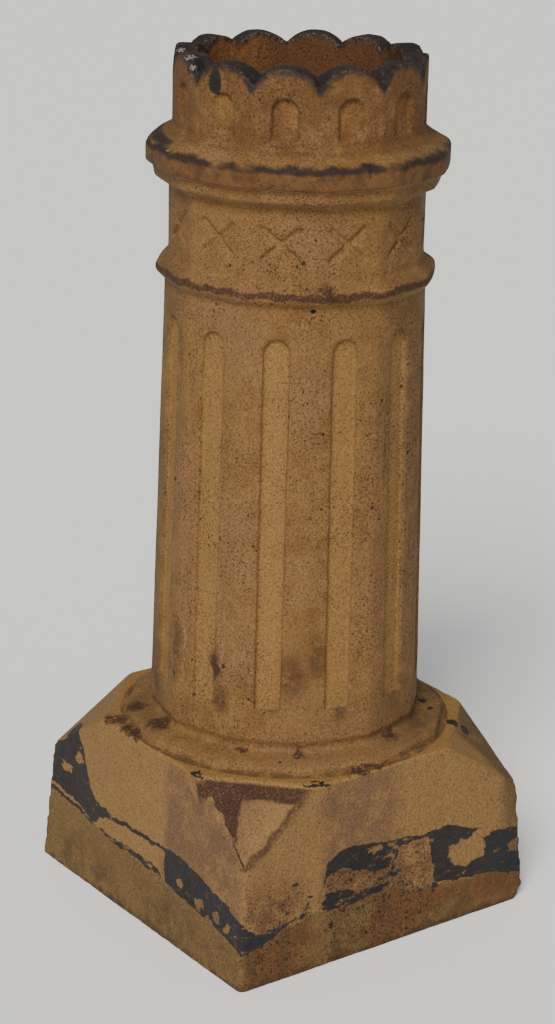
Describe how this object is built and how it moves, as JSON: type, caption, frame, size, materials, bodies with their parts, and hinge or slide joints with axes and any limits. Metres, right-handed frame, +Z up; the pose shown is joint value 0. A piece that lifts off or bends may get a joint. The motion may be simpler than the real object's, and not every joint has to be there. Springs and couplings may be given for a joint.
{
  "type": "chimney pot",
  "caption": "Tall many-sided fluted fireclay chimney pot with a scalloped crown on a square broached plinth, hollow right through, weathered buff clay",
  "frame": {"origin": "middle of the underside of the square plinth, on the plane that the pot stands on", "axes": "+Z up along the flue, from the plinth to the scalloped crown; X and Y square to the plinth's sides, -Y is one of its four like faces"},
  "size_m": [0.381, 0.381, 0.914],
  "materials": {
    "fireclay": "unglazed buff fireclay, matt, weathered"
  },
  "bodies": {
    "root": {"chimney_pot": "fireclay"}
  },
  "joints": []
}
